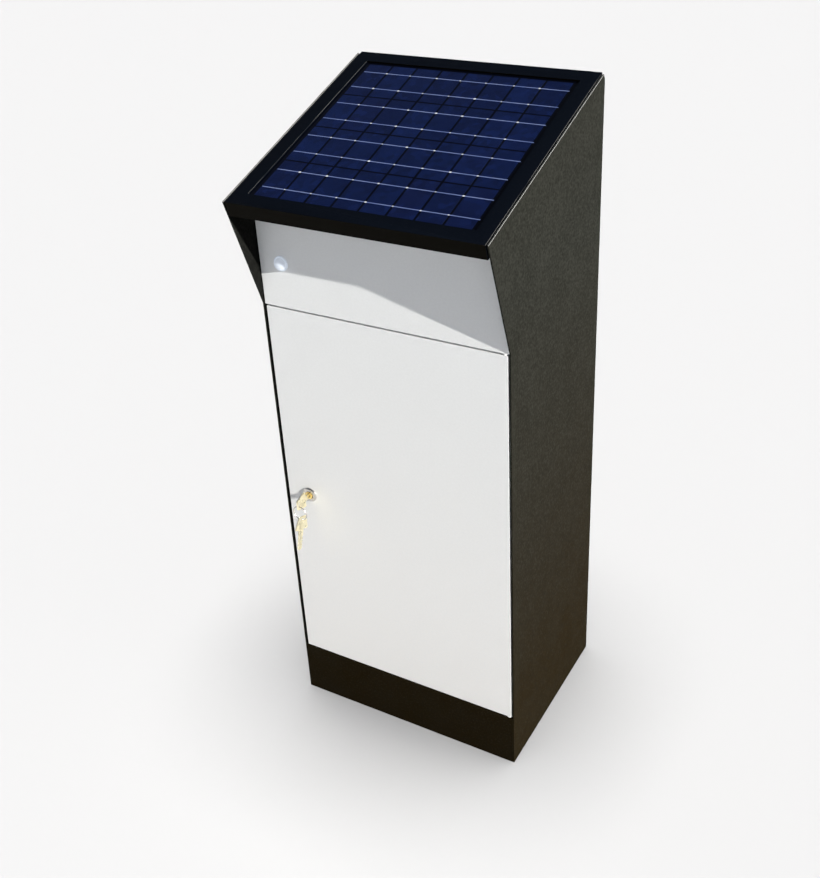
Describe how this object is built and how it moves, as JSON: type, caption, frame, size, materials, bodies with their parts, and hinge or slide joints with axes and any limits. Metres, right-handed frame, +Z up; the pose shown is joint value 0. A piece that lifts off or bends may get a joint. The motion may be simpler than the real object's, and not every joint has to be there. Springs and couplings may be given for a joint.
{
  "type": "solar battery box",
  "caption": "Free-standing sheet-metal solar pedestal: sloping photovoltaic roof, motion sensor under the eave, and a locked door over a battery, charge controller and breaker.",
  "frame": {"origin": "middle of the box's footprint, on the ground", "axes": "+X to the right as seen facing the door, +Y from the door to the back, +Z up"},
  "size_m": [0.38, 0.351, 0.993],
  "materials": {
    "black_coat": "fine-textured matt powder coat",
    "white_coat": "smooth satin powder coat",
    "zinc_steel": "bright zinc plate",
    "lead_metal": "cast lead",
    "solar_glass": "tempered glass over polycrystalline cells",
    "white_plastic": "translucent white moulding",
    "black_plastic": "matt moulding",
    "grey_plastic": "matt moulding",
    "battery_plastic": "ribbed moulding",
    "red_plastic": "glossy moulding",
    "seal_rubber": "soft matt rubber",
    "lock_chrome": "polished nickel-chrome plate",
    "key_brass": "polished brass",
    "red_wire": "soft satin sheath",
    "black_wire": "soft satin sheath",
    "grey_wire": "soft satin sheath"
  },
  "bodies": {
    "root": {"left_side_panel": "black_coat", "right_side_panel": "black_coat", "back_panel": "black_coat", "base_plate": "black_coat", "kick_plate": "black_coat", "fascia_panel": "white_coat", "soffit_panel": "black_coat", "left_roof_rail": "zinc_steel", "right_roof_rail": "zinc_steel", "left_jamb": "black_coat", "right_jamb": "black_coat", "head_rail": "black_coat", "sill_rail": "black_coat", "lower_hinge_pin": "zinc_steel", "upper_hinge_pin": "zinc_steel", "lower_hinge_washer": "white_plastic", "upper_hinge_washer": "white_plastic", "panel_frame": "black_coat", "pv_laminate": "solar_glass", "junction_box": "black_plastic", "junction_box_lid": "black_plastic", "sensor_lens": "white_plastic", "sensor_module": "black_plastic", "battery_tray": "zinc_steel", "battery_case": "battery_plastic", "battery_lid": "black_plastic", "battery_terminal_positive": "lead_metal", "battery_terminal_negative": "lead_metal", "hold_down_bar": "zinc_steel", "hold_down_rod_left": "zinc_steel", "hold_down_rod_right": "zinc_steel", "equipment_plate": "zinc_steel", "charge_controller": "black_plastic", "controller_terminals": "grey_plastic", "din_rail": "zinc_steel", "breaker_body": "grey_plastic", "terminal_block": "grey_plastic", "cable_gland": "black_plastic", "battery_lead_positive": "red_wire", "battery_lead_negative": "black_wire", "breaker_lead": "red_wire", "panel_lead_positive": "red_wire", "panel_lead_negative": "black_wire", "sensor_lead": "grey_wire", "lead_clip": "black_plastic"},
    "door": {"door_panel": "white_coat", "door_stiffener": "white_coat", "door_seal": "seal_rubber", "lock_body": "lock_chrome", "lock_nut": "zinc_steel"},
    "lock_barrel": {"lock_plug": "key_brass", "lock_cam": "zinc_steel", "cam_screw": "zinc_steel", "key_in_lock": "key_brass"},
    "key_ring": {"key_ring": "lock_chrome"},
    "spare_key": {"spare_key": "key_brass"},
    "breaker_toggle": {"breaker_toggle": "red_plastic"},
    "button_menu": {"controller_button_menu": "grey_plastic"},
    "button_minus": {"controller_button_minus": "grey_plastic"},
    "button_plus": {"controller_button_plus": "grey_plastic"}
  },
  "joints": [
    {"name": "door_hinge", "type": "hinge", "parent": "root", "child": "door", "pos_m": [0.1816, -0.114, 0.404], "axis": [0, 0, 1], "range_deg": [0, 105]},
    {"name": "lock_turn", "type": "hinge", "parent": "door", "child": "lock_barrel", "pos_m": [-0.1458, -0.1185, 0.406], "axis": [0, 1, 0], "range_deg": [0, 90]},
    {"name": "ring_hang", "type": "hinge", "parent": "lock_barrel", "child": "key_ring", "pos_m": [-0.1458, -0.1485, 0.3988], "axis": [0, 1, 0], "range_deg": [-90, 0]},
    {"name": "spare_key_swing", "type": "hinge", "parent": "key_ring", "child": "spare_key", "pos_m": [-0.1458, -0.1485, 0.3789], "axis": [1, 0, 0], "range_deg": [-60, 20]},
    {"name": "breaker_throw", "type": "hinge", "parent": "root", "child": "breaker_toggle", "pos_m": [0.05, 0.1029, 0.596], "axis": [1, 0, 0], "range_deg": [0, 76]},
    {"name": "menu_press", "type": "slide", "parent": "root", "child": "button_menu", "axis": [0, 1, 0], "range_m": [0, 0.0008], "stiffness_N_per_m": 400},
    {"name": "minus_press", "type": "slide", "parent": "root", "child": "button_minus", "axis": [0, 1, 0], "range_m": [0, 0.0008], "stiffness_N_per_m": 400},
    {"name": "plus_press", "type": "slide", "parent": "root", "child": "button_plus", "axis": [0, 1, 0], "range_m": [0, 0.0008], "stiffness_N_per_m": 400}
  ],
  "couplings": [
    {"joint": "ring_hang", "follows": "lock_turn", "ratio": -1}
  ]
}
